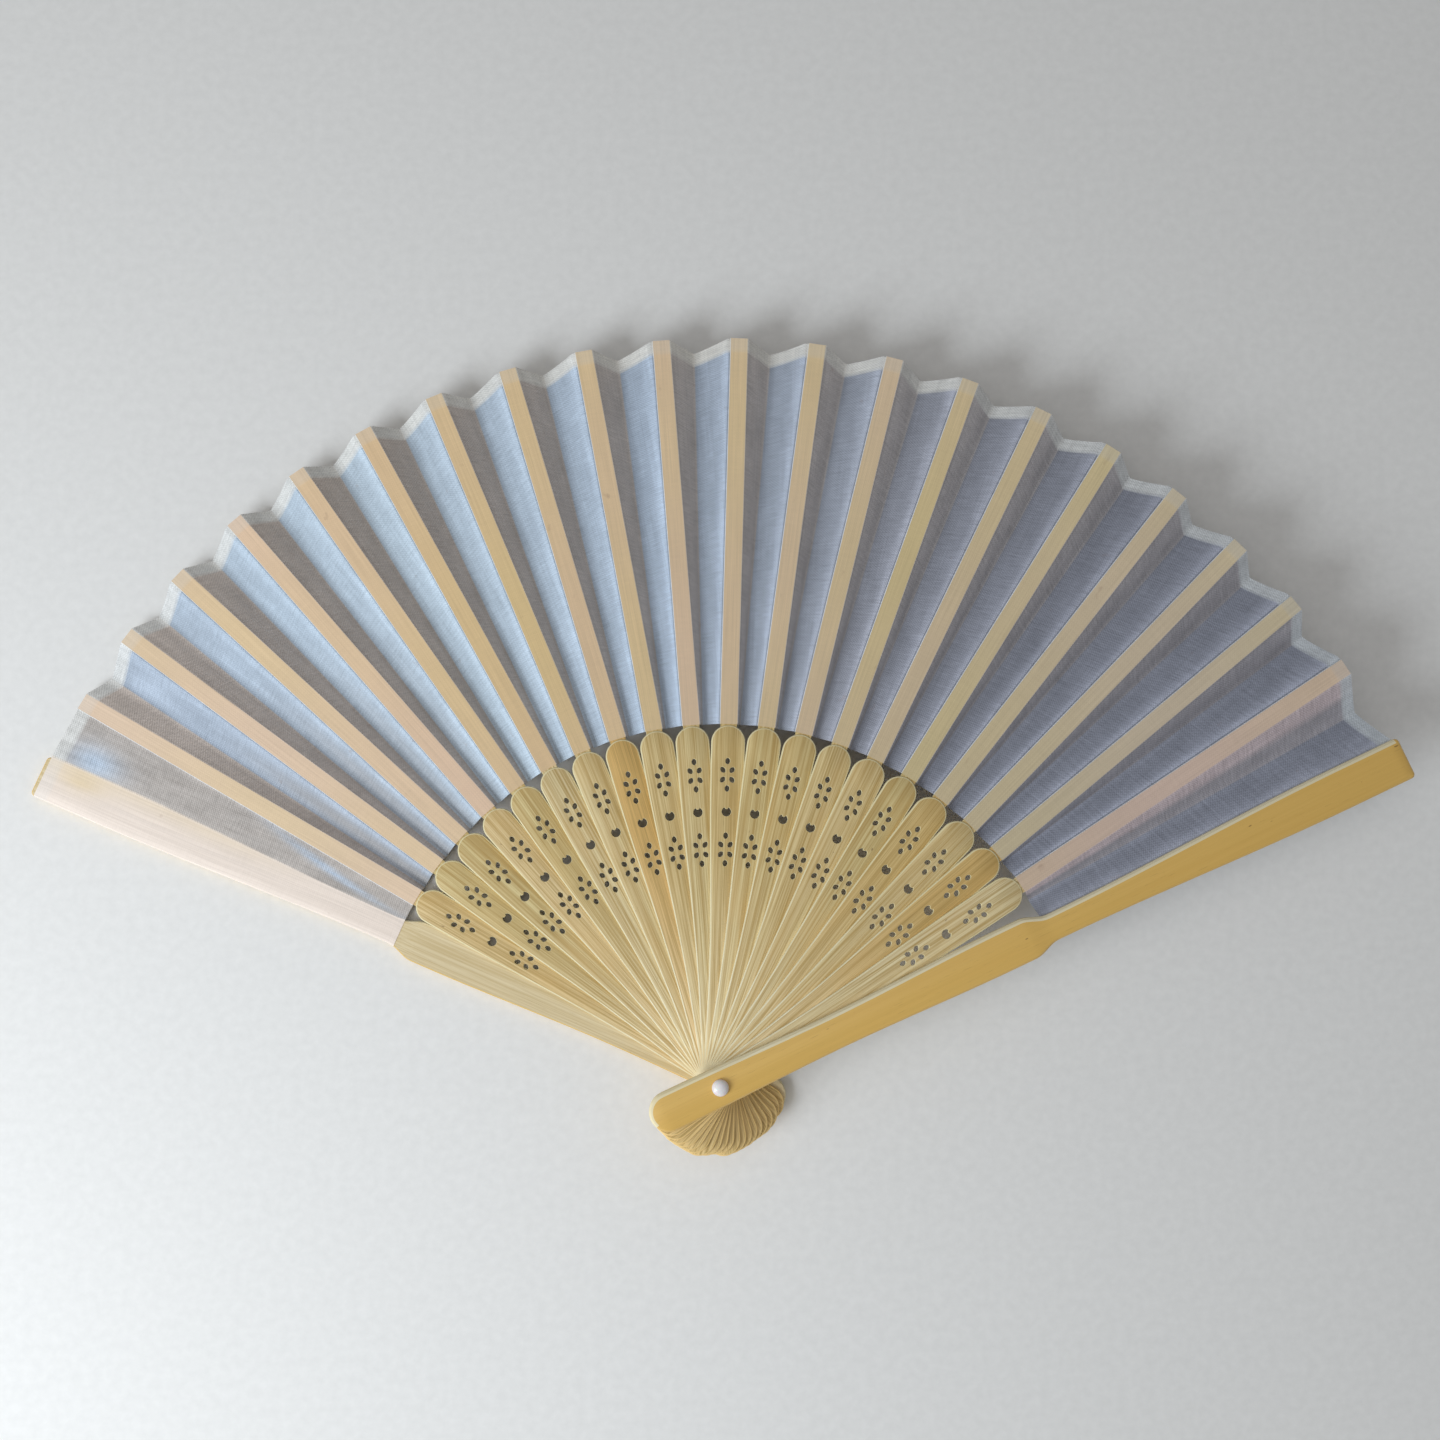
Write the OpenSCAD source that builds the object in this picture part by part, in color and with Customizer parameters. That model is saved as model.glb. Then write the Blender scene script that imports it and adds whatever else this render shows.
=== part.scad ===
// Folding hand fan, lying open on its back.
// Two guards and twenty pierced ribs turn on one rivet, and a pleated cloth leaf joins them.
// The rivet stands on the Z axis, the back of the rear guard is at z = 0, and +Y is the middle
// of the leaf. A stick is drawn along +X with its rivet hole at the origin, then turned and
// lifted to its place: each one lies on the one before it, from the rear guard at the left to
// the front guard at the right.

/* [Opening] */
// Angle between neighbouring ribs, in degrees
rib_pitch = 6.13; // [5.9:0.01:6.3]
// Angle by which the folded ribs lean past the guards, in degrees
rib_lean = 0.75; // [0.6:0.05:0.9]
// Gap between one stick and the next, through the thickness
play = 0.05; // [0.04:0.01:0.1]

/* [Sticks] */
// Length of every stick below the rivet
tail_reach = 18.8; // [17:0.1:20]
// Distance from the rivet to the narrowest part of a stick
waist_x = 30; // [24:1:36]
// Distance from the rivet to the widest part of a stick
head_x = 80; // [76:1:82]
// Radius of the rivet hole
hole_r = 1.05; // [1.03:0.01:1.09]

/* [Guards] */
// Length from the rivet to the tip
guard_reach = 191.5; // [189:0.5:195]
// Thickness of a guard's handle
guard_t = 2.4; // [2:0.1:3]
// Depth of the seat for the leaf on a guard's inner face
leaf_seat = 0.3; // [0.25:0.01:0.4]
// Half width at the rounded tail
guard_tail = 4.9; // [4.5:0.1:5.2]
// Half width at the waist
guard_waist = 4.3; // [4:0.1:4.6]
// Half width at the shoulder
guard_shoulder = 5.3; // [5:0.1:5.6]
// Half width of the blade just above the shoulder
blade_root = 3.4; // [3:0.1:3.8]
// Half width of the blade at the tip
blade_tip = 5.4; // [5:0.1:5.8]

/* [Ribs] */
// Thickness of a rib
rib_t = 0.85; // [0.8:0.01:0.9]
// Thickness of the slim strip that carries the leaf
strip_t = 0.5; // [0.4:0.01:0.55]
// Length from the rivet to the end of the strip
strip_reach = 187; // [184:0.5:188]
// Half width of the strip
strip_half = 2.1; // [1.9:0.05:2.2]
// Half width at the rounded tail
rib_tail = 4.3; // [4:0.1:4.5]
// Half width at the waist
rib_waist = 3.3; // [3.1:0.1:3.5]
// Half width at the rounded head
rib_head = 4.35; // [4.2:0.05:4.5]

/* [Piercing] */
// Distance from the rivet to the middle of the outer flower
outer_flower_x = 77; // [76:0.5:78]
// Distance from the rivet to the heart
heart_x = 67.6; // [67:0.1:68]
// Distance from the rivet to the middle of the inner flower
inner_flower_x = 58; // [57:0.5:59]
// Length of a petal
petal_l = 1.7; // [1.4:0.05:1.8]
// Width of a petal
petal_w = 1.25; // [0.8:0.05:1.3]
// Radius of the heart
heart_r = 1.2; // [0.8:0.05:1.25]

/* [Leaf] */
// Distance from the rivet to the leaf's inner edge
leaf_inner = 90; // [90:0.5:94]
// Distance from the rivet to the leaf's outer edge at a ridge
leaf_outer = 190.5; // [189:0.5:192]
// How much nearer to the rivet the outer edge is at a valley
edge_dip = 2.5; // [1:0.1:3]
// Depth of a pleat at the outer edge
pleat_depth = 5; // [3:0.1:6]
// Thickness of the cloth
cloth_t = 0.12; // [0.1:0.01:0.14]
// Place of the valley between two ridges, as a share of the pitch
valley_share = 0.52; // [0.51:0.01:0.56]

/* [Rivet] */
// Radius of the pin
pin_r = 1; // [0.98:0.01:1]
// Radius of the domed front head
cap_r = 2.1; // [1.8:0.1:2.4]
// Height of the domed front head
cap_h = 1.6; // [1.4:0.1:1.8]
// Radius of the flat rear head
foot_r = 2; // [1.8:0.1:2.2]
// Thickness of the flat rear head
foot_t = 0.8; // [0.6:0.1:0.9]

/* [Hidden] */
$fn = 48;
rib_count = 20;
front = rib_count + 1;
function two_digits(n) = n < 10 ? str("0", n) : str(n);
function rib_name(n) = str("rib_", two_digits(n));
function gore_name(n) = str("leaf_gore_", two_digits(n));

guard_colour = "#D9B765";
rib_colour = "#E3CB86";
cloth_colour = "#B9C6DC";
rivet_colour = "#EDE3E6";

// The end gaps turn 1.2 times as far as the gaps between ribs, and the lean shares them out
end_turn = 1.2 * rib_pitch;
first_gap = end_turn - rib_lean;
last_gap = end_turn + rib_lean;
opening = first_gap + (rib_count - 1) * rib_pitch + last_gap;
rear_angle = 90 + opening / 2;

// How far a cut starts and ends beyond the faces it opens
past = 1;

// Heights of the stack
level = rib_t + play;
front_z = guard_t + play + rib_count * level;
stack_top = front_z + guard_t;

// Guard outline above the handle
shoulder_x = 84.5;
blade_x = 91.5;
full_blade_x = 175;
tip_round = 0.8;
outline_step = 5;
shoulder_step = 1;

// Piercing
petal_reach = 3.5;
side_petal_x = 1.25;
side_petal_y = 1.18;
side_petal_tilt = 35;
notch_r = 0.5;
notch_x = heart_r - 0.05;

// Gap between a rib's head and the leaf
head_gap = 0.3;

// Rivet
foot_recess = 1;
foot_clearance = 0.2;
pin_grip = 0.8;

// Leaf
leaf_rows = 5;
edge_clearance = 0.12;
fold_clearance = 0.15;
glue_line = 0.01;
lowest_valley = 0.4;
bare_edge = 1.2;
tuck = 3;

// Stick 0 is the rear guard and stick 21 the front guard
function stick_angle(n) =
    n == 0 ? rear_angle : n == front ? rear_angle - opening : rear_angle - first_gap - (n - 1) * rib_pitch;
function stick_gap(n) = stick_angle(n) - stick_angle(n + 1);
function stick_z(n) = n == 0 ? 0 : guard_t + play + (n - 1) * level;

// Smooth step from 0 to 1
function ease(t) = let (u = min(1, max(0, t))) u * u * (3 - 2 * u);
function between(a, b, t) = a + (b - a) * ease(t);

// Half width of the handle at x, waisted between the tail and the head
function handle_half(x, tail, waist, head) =
    x < waist_x
        ? between(waist, tail, (waist_x - x) / (waist_x + tail_reach - tail))
        : between(waist, head, (x - waist_x) / (head_x - waist_x));

// Half width of a guard's blade at x
function blade_half(x) = between(blade_root, blade_tip, (x - blade_x) / (full_blade_x - blade_x));

function mirrored(edge) = concat(edge, [for (i = [len(edge) - 1 : -1 : 0]) [edge[i][0], -edge[i][1]]]);

module handle_shape(end_x, tail, waist, head) {
    tail_x = tail - tail_reach;
    steps = ceil((end_x - tail_x) / outline_step);
    translate([tail_x, 0]) circle(r = tail);
    polygon(mirrored([
        for (i = [0 : steps])
            let (x = tail_x + (end_x - tail_x) * i / steps) [x, handle_half(x, tail, waist, head)]
    ]));
}

module shoulder_shape() {
    polygon(mirrored([
        for (x = [shoulder_x : shoulder_step : blade_x])
            [x, between(guard_shoulder, blade_root, (x - shoulder_x) / (blade_x - shoulder_x))]
    ]));
}

module blade_shape() {
    round_x = guard_reach - tip_round;
    steps = ceil((round_x - blade_x) / outline_step);
    polygon(mirrored(concat(
        [for (i = [0 : steps]) let (x = blade_x + (round_x - blade_x) * i / steps) [x, blade_half(x)]],
        [[guard_reach, blade_half(guard_reach) - tip_round]]
    )));
    for (side = [-1, 1])
        translate([round_x, side * (blade_tip - tip_round)]) circle(r = tip_round);
}

// A guard lies with its plain face down, and its inner face is lowered under the leaf
module guard_solid() {
    linear_extrude(guard_t) {
        handle_shape(shoulder_x, guard_tail, guard_waist, guard_shoulder);
    }
    linear_extrude(guard_t - leaf_seat) {
        shoulder_shape();
        blade_shape();
    }
}

module rivet_hole() {
    translate([0, 0, -past]) cylinder(r = hole_r, h = guard_t + 2 * past);
}

module petal() {
    bow = (petal_l * petal_l + petal_w * petal_w) / (4 * petal_w);
    intersection() {
        translate([0, bow - petal_w / 2]) circle(r = bow);
        translate([0, petal_w / 2 - bow]) circle(r = bow);
    }
}

module flower() {
    for (end = [-1, 1]) {
        translate([end * petal_reach, 0]) petal();
        for (side = [-1, 1])
            translate([end * side_petal_x, side * side_petal_y])
                rotate(end * side * side_petal_tilt) petal();
    }
}

module heart() {
    difference() {
        circle(r = heart_r);
        translate([notch_x, 0]) circle(r = notch_r);
    }
}

module rib_solid() {
    round_x = leaf_inner - head_gap - rib_head;
    linear_extrude(rib_t) difference() {
        union() {
            handle_shape(round_x, rib_tail, rib_waist, rib_head);
            translate([round_x, 0]) circle(r = rib_head);
        }
        translate([outer_flower_x, 0]) flower();
        translate([heart_x, 0]) heart();
        translate([inner_flower_x, 0]) flower();
        circle(r = hole_r);
    }
    linear_extrude(strip_t)
        translate([round_x, -strip_half]) square([strip_reach - round_x, 2 * strip_half]);
}

module rear_guard() {
    color(guard_colour) rotate(stick_angle(0)) difference() {
        guard_solid();
        rivet_hole();
        translate([0, 0, -past]) cylinder(r = foot_r + foot_clearance, h = past + foot_recess);
    }
}

module front_guard() {
    color(guard_colour) translate([0, 0, stack_top]) rotate(stick_angle(front)) mirror([0, 0, 1])
        difference() {
            guard_solid();
            rivet_hole();
        }
}

module rib(n) {
    color(rib_colour) translate([0, 0, stick_z(n)]) rotate(stick_angle(n)) rib_solid();
}

module rivet_pin() {
    color(rivet_colour) {
        translate([0, 0, foot_recess - foot_t]) cylinder(r = foot_r, h = foot_t);
        translate([0, 0, foot_recess]) cylinder(r = pin_r, h = stack_top + play + pin_grip - foot_recess);
    }
}

module rivet_cap() {
    dome_r = (cap_r * cap_r + cap_h * cap_h) / (2 * cap_h);
    color(rivet_colour) translate([0, 0, stack_top + play]) difference() {
        intersection() {
            translate([0, 0, cap_h - dome_r]) sphere(r = dome_r);
            cylinder(r = cap_r + past, h = cap_h + past);
        }
        translate([0, 0, -past]) cylinder(r = pin_r, h = past + pin_grip);
    }
}

// Height of the cloth's front face where it is glued to a stick: behind the front guard, and on
// the front of all the others
function seat_z(n) =
    n == front ? front_z + leaf_seat - glue_line
    : glue_line + cloth_t + (n == 0 ? guard_t - leaf_seat : stick_z(n) + strip_t);

// Point at distance r along a line that runs beside stick n's axis, turned by a further angle
function beside(n, turn, r, y, z) =
    let (a = stick_angle(n) - turn) [r * cos(a) - y * sin(a), r * sin(a) + y * cos(a), z];

// The cloth's front face across gore n at distance r: over the stick, down into the valley and
// up to the next ridge. The first gore has no valley, and the last goes on under the front guard
function gore_line(n, r, dip) =
    let (
        half = n == 0 ? blade_half(r) : strip_half,
        start = n == 0 ? half - bare_edge : half,
        valley_z = max(lowest_valley, seat_z(n) - pleat_depth * r / leaf_outer),
        end = n == rib_count ? blade_half(r) : strip_half + fold_clearance
    )
    concat(
        [
            beside(n, 0, r, start, seat_z(n)),
            beside(n, 0, r, -half - edge_clearance - cloth_t, seat_z(n))
        ],
        n == 0 ? [] : [beside(n, valley_share * stick_gap(n), r - dip, strip_half, valley_z)],
        [beside(n + 1, 0, r, end, seat_z(n + 1))],
        n == rib_count ? [beside(n + 1, 0, r, end - tuck, seat_z(n + 1))] : []
    );

function unit(v) = v / norm(v);

// Upward normal of the panel from a to b, where along is the gore's length direction
function panel_up(a, b, along) = let (n = unit(cross(along, b - a))) n[2] < 0 ? -n : n;

// The back face: each point moved down by the cloth's thickness, square to both panels beside it
function back_line(line, along) =
    let (last = len(line) - 1)
    [for (i = [0 : last])
        let (
            left = panel_up(line[max(i, 1) - 1], line[max(i, 1)], along),
            right = panel_up(line[min(i, last - 1)], line[min(i, last - 1) + 1], along),
            middle = unit(left + right)
        )
        line[i] - middle * cloth_t / (middle * left)];

// Two triangles between neighbouring points a and b of one row and the same two of the next row,
// which is step further on. Both skins of the cloth are split along the same diagonal
function skin_quad(a, b, step, front_skin) =
    front_skin
        ? [[a, b + step, b], [a, a + step, b + step]]
        : [[a, a + step, b], [b, a + step, b + step]];

// One gore of the leaf, as a closed skin of triangles
module gore(n) {
    rows = [for (i = [0 : leaf_rows]) i / leaf_rows];
    middle_angle = stick_angle(n) - stick_gap(n) / 2;
    along = [cos(middle_angle), sin(middle_angle), 0];
    fronts = [for (s = rows) gore_line(n, leaf_inner + (leaf_outer - leaf_inner) * s, edge_dip * s)];
    backs = [for (line = fronts) back_line(line, along)];
    across = len(fronts[0]);
    points = [
        for (i = [0 : leaf_rows])
            each concat(fronts[i], [for (j = [across - 1 : -1 : 0]) backs[i][j]])
    ];
    ring = 2 * across;
    sides = [
        for (i = [0 : leaf_rows - 1])
            for (j = [0 : ring - 1])
                each skin_quad(i * ring + j, i * ring + (j + 1) % ring, ring, j < across)
    ];
    ends = [
        for (j = [0 : across - 2])
            let (a = j, b = j + 1, c = ring - 2 - j, d = ring - 1 - j, last = leaf_rows * ring)
                each [[a, b, c], [a, c, d], [last + a, last + c, last + b], [last + a, last + d, last + c]]
    ];
    color(cloth_colour) polyhedron(points, concat(sides, ends));
}

rear_guard();
for (n = [1 : rib_count])
    rib(n);
front_guard();
for (n = [0 : rib_count])
    gore(n);
rivet_pin();
rivet_cap();
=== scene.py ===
import math
from collections import namedtuple

import bpy
import numpy as np
from mathutils import Matrix, Vector
from mathutils.geometry import delaunay_2d_cdt


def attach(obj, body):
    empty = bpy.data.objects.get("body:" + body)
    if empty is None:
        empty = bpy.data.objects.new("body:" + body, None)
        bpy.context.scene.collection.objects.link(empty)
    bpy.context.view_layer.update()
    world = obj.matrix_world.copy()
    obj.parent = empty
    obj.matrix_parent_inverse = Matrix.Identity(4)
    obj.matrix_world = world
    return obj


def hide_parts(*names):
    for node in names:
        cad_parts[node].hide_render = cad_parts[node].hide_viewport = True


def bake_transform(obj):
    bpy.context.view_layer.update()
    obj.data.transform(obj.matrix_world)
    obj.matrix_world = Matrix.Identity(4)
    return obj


# A folding hand fan, lying open on its back: two guards, twenty pierced ribs, a pleated cloth
# leaf of twenty-one gores, and a rivet. The fan's lengths are in millimetres and its angles in
# degrees, as in the CAD source, until make_mesh turns them into metres. The heights of bumps, the
# floor, the lights and the camera are in metres.

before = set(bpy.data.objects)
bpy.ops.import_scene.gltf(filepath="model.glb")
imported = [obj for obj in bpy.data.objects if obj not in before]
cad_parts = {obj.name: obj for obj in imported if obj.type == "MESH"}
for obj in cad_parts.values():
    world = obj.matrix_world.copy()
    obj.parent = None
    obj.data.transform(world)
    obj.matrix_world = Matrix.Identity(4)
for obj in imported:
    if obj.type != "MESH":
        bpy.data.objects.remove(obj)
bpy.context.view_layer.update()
randomness = np.random.default_rng(7)

MM = 0.001

# Layout, the same as the CAD's. Stick 0 is the rear guard and stick 21 the front guard
RIB_COUNT = 20
FRONT = RIB_COUNT + 1
PITCH = 6.13
LEAN = 0.75
END_TURN = 1.2 * PITCH
FIRST_GAP = END_TURN - LEAN
LAST_GAP = END_TURN + LEAN
OPENING = FIRST_GAP + (RIB_COUNT - 1) * PITCH + LAST_GAP
REAR_ANGLE = 90 + OPENING / 2
GUARD_T = 2.4
RIB_T = 0.85
PLAY = 0.05
LEVEL = RIB_T + PLAY
FRONT_Z = GUARD_T + PLAY + RIB_COUNT * LEVEL
STACK_TOP = FRONT_Z + GUARD_T

# Outlines. Each trio holds half widths at the tail, the waist and the head
TAIL_REACH = 18.8
WAIST_X = 30
HEAD_X = 80
GUARD_REACH = 191.5
GUARD_HALVES = (4.9, 4.3, 5.3)
BLADE_ROOT, BLADE_TIP = 3.4, 5.4
SHOULDER_X, BLADE_X, FULL_BLADE_X = 84.5, 91.5, 175
TIP_R = 1.1
RIB_HALVES = (4.3, 3.3, 4.35)
HEAD_GAP = 0.3
STRIP_T, STRIP_REACH, STRIP_HALF = 0.5, 187, 2.1
STRIP_OVERLAP, STRIP_LIFT = 1.1, 0.01
HOLE_R = 1.05

# Piercings of a rib: two flowers of six petals, with a heart between them
FAR_FLOWER_X, HEART_X, NEAR_FLOWER_X = 77, 67.6, 58
PETAL_L, PETAL_W = 1.7, 1.25
END_PETAL_X = 3.5
SIDE_PETAL_X, SIDE_PETAL_Y, SIDE_PETAL_TILT = 1.25, 1.18, 35
HEART_R, NOTCH_R, NOTCH_X = 1.2, 0.5, 1.15

# Shaped edges of the plates, as (inset, share of the height) from the back face to the front
RIB_PROFILE = ((0.1, 0), (0, 0.12), (0, 0.62), (0.12, 0.88), (0.34, 1))
STRIP_PROFILE = ((0.05, 0), (0, 0.15), (0, 0.85), (0.05, 1))
GUARD_PROFILE = ((1.0, 0), (0.45, 0.1), (0, 0.36), (0, 0.9), (0.25, 1))
HOLE_PROFILE = ((0, 0), (0, 0.9), (-0.07, 1))

# Leaf
LEAF_INNER, LEAF_OUTER = 90, 190.5
LEAF_SEAT = 0.3
CLOTH_T = 0.08
SEAT_LIFT = 0.13
HEM = 3.7
HEM_RISE = 0.03


def stick_angle(n):
    if n == 0:
        return REAR_ANGLE
    if n == FRONT:
        return REAR_ANGLE - OPENING
    return REAR_ANGLE - FIRST_GAP - (n - 1) * PITCH


def gap_after(n):
    """Degrees between stick n and the next when the fan is open."""
    return stick_angle(n) - stick_angle(n + 1)


def travel_after(n):
    """Degrees that the hinge between stick n and the next turns as the fan shuts."""
    return END_TURN if n in (0, RIB_COUNT) else PITCH


def stick_z(n):
    return 0 if n == 0 else GUARD_T + PLAY + (n - 1) * LEVEL


def body_name(n):
    return "rear_guard" if n == 0 else "front_guard" if n == FRONT else f"rib_{n:02d}"


def ease(t):
    t = np.clip(t, 0, 1)
    return t * t * (3 - 2 * t)


def between(a, b, t):
    return a + (b - a) * ease(t)


def hill(value, middle, width):
    """A smooth hill, 1 high at its middle."""
    return math.exp(-(((value - middle) / width) ** 2))


def turned(points, degrees):
    """Plan points, one per row, turned counter-clockwise about the rivet."""
    a = math.radians(degrees)
    return points @ np.array([[math.cos(a), math.sin(a)], [-math.sin(a), math.cos(a)]])


# ---------------------------------------------------------------- meshes


def make_mesh(name, points, faces, materials, material_of=None, smooth=25, **attributes):
    """A new object from points in millimetres, with float, vector or colour attributes."""
    mesh = bpy.data.meshes.new(name)
    mesh.from_pydata((np.asarray(points) * MM).tolist(), [], faces)
    for material in materials:
        mesh.materials.append(material)
    if material_of is not None:
        mesh.polygons.foreach_set("material_index", material_of)
    for key, values in attributes.items():
        values = np.asarray(values, np.float32)
        kind, field = {1: ("FLOAT", "value"), 3: ("FLOAT_VECTOR", "vector")}.get(
            1 if values.ndim == 1 else values.shape[1], ("FLOAT_COLOR", "color")
        )
        mesh.attributes.new(key, kind, "POINT").data.foreach_set(field, values.ravel())
    mesh.shade_smooth()
    mesh.set_sharp_from_angle(angle=math.radians(smooth))
    mesh.update()
    made = bpy.data.objects.new(name, mesh)
    bpy.context.scene.collection.objects.link(made)
    return made


def arc(centre, radius, start, end, steps):
    a = np.radians(np.linspace(start, end, steps))
    return np.stack([centre[0] + radius * np.cos(a), centre[1] + radius * np.sin(a)], axis=1)


def inset(loop, distance):
    """A closed counter-clockwise loop moved inwards."""
    along = np.roll(loop, -1, axis=0) - np.roll(loop, 1, axis=0)
    along /= np.linalg.norm(along, axis=1, keepdims=True)
    return loop + distance * np.stack([-along[:, 1], along[:, 0]], axis=1)


def in_loop(points, loop):
    """Which points lie inside a closed loop, by the crossings of a ray."""
    x, y = points[:, :1], points[:, 1:]
    a, b = loop, np.roll(loop, -1, axis=0)
    spans = (a[:, 1] > y) != (b[:, 1] > y)
    rise = np.where(a[:, 1] == b[:, 1], 1, b[:, 1] - a[:, 1])
    hits = spans & (x < a[:, 0] + (y - a[:, 1]) / rise * (b[:, 0] - a[:, 0]))
    return hits.sum(axis=1) % 2 == 1


def cap(loops, ties):
    """Triangles, counter-clockwise, between an outer loop and the holes in it."""
    edges, first = list(ties), 0
    for loop in loops:
        edges += [(first + i, first + (i + 1) % len(loop)) for i in range(len(loop))]
        first += len(loop)
    points = np.concatenate(loops)
    _, _, faces, sources, _, _ = delaunay_2d_cdt(
        [Vector(p) for p in points], edges, [], 1, 1e-6
    )
    triangles = np.array([[sources[i][0] for i in face] for face in faces])
    middles = points[triangles].mean(axis=1)
    keep = in_loop(middles, loops[0])
    for hole in loops[1:]:
        keep &= ~in_loop(middles, hole)
    triangles = triangles[keep]
    a, b, c = (points[triangles[:, i]] for i in range(3))
    area = (b[:, 0] - a[:, 0]) * (c[:, 1] - a[:, 1]) - (b[:, 1] - a[:, 1]) * (c[:, 0] - a[:, 0])
    return np.where(area[:, None] < 0, triangles[:, ::-1], triangles)


def plate(outline, holes, profile, height, ties=()):
    """A flat plate with shaped edges. height gives the (back, front) z of plan points. Its faces
    are of three kinds: 0 for the back, 1 for the edges and 2 for the front."""

    def ring(loop, share):
        low, high = height(loop)
        return np.column_stack([loop, np.full(len(loop), low) * (1 - share) + high * share])

    points, faces, kinds = [], [], []
    lowest, highest = [], []
    for number, loop in enumerate([outline, *holes]):
        steps = profile if number == 0 else HOLE_PROFILE
        size, first = len(loop), sum(map(len, points))
        for depth, share in steps:
            points.append(ring(inset(loop, depth), share))
        for level in range(len(steps) - 1):
            for i in range(size):
                a, b = first + level * size + i, first + level * size + (i + 1) % size
                quad = (a, b, b + size, a + size)
                faces.append(quad if number == 0 else quad[::-1])
                kinds.append(1)
        lowest.append(range(first, first + size))
        highest.append(range(first + (len(steps) - 1) * size, first + len(steps) * size))
    points = np.concatenate(points)
    for ids, flip in ((np.concatenate(highest), False), (np.concatenate(lowest), True)):
        rings = np.split(points[ids, :2], np.cumsum([len(r) for r in highest])[:-1])
        triangles = ids[cap(rings, ties)]
        faces += (triangles[:, ::-1] if flip else triangles).tolist()
        kinds += [0 if flip else 2] * len(triangles)
    return points, faces, kinds


def joined(*parts):
    """Several (points, faces, kinds) as one."""
    points, faces, kinds, first = [], [], [], 0
    for p, f, k in parts:
        points.append(p)
        faces += [tuple(i + first for i in face) for face in f]
        kinds += list(k)
        first += len(p)
    return np.concatenate(points), faces, kinds


# ---------------------------------------------------------------- materials


class Shader:
    """A node material with short calls for the nodes used here."""

    def __init__(self, name, **settings):
        self.material = bpy.data.materials.new(name)
        self.material.use_nodes = True
        self.tree = self.material.node_tree
        self.surface = self.tree.nodes["Principled BSDF"]
        for socket, value in settings.items():
            self.surface.inputs[socket.replace("_", " ")].default_value = value

    def node(self, kind, inputs=(), **properties):
        made = self.tree.nodes.new("ShaderNode" + kind)
        for key, value in properties.items():
            setattr(made, key, value)
        for key, value in dict(inputs).items():
            if isinstance(value, bpy.types.NodeSocket):
                self.tree.links.new(value, made.inputs[key])
            else:
                made.inputs[key].default_value = value
        return made

    def attribute(self, name):
        return self.node("Attribute", attribute_name=name)

    def math(self, operation, a, b=0.0):
        return self.node("Math", {0: a, 1: b}, operation=operation).outputs[0]

    def scaled(self, vector, x, y, z):
        return self.node("VectorMath", {0: vector, 1: (x, y, z)}, operation="MULTIPLY").outputs[0]

    def noise(self, vector, detail=3.0, roughness=0.55):
        return self.node(
            "TexNoise", {"Vector": vector, "Scale": 1.0, "Detail": detail, "Roughness": roughness}
        ).outputs["Fac"]

    def spread(self, value, low, high, start=0.0, end=1.0):
        return self.node(
            "MapRange", {0: value, 1: low, 2: high, 3: start, 4: end}, clamp=True
        ).outputs[0]

    def mix(self, share, a, b, blend="MIX"):
        made = self.node("Mix", data_type="RGBA", blend_type=blend)
        for key, value in ((0, share), (6, a), (7, b)):
            if isinstance(value, bpy.types.NodeSocket):
                self.tree.links.new(value, made.inputs[key])
            else:
                made.inputs[key].default_value = value
        return made.outputs[2]

    def bump(self, height, distance, strength, under=None):
        """Bumps in a surface, distance high in metres, laid over the bumps under them."""
        made = self.node("Bump", {"Height": height, "Distance": distance, "Strength": strength})
        if under is not None:
            self.tree.links.new(under, made.inputs["Normal"])
        return made.outputs[0]

    def feed(self, socket, value):
        self.tree.links.new(value, self.surface.inputs[socket])


def colour(red, green, blue):
    """A display colour, each channel from 0 to 255, as linear light."""
    share = np.array([red, green, blue]) / 255
    return (*np.where(share < 0.04045, share / 12.92, ((share + 0.055) / 1.055) ** 2.4), 1.0)


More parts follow.
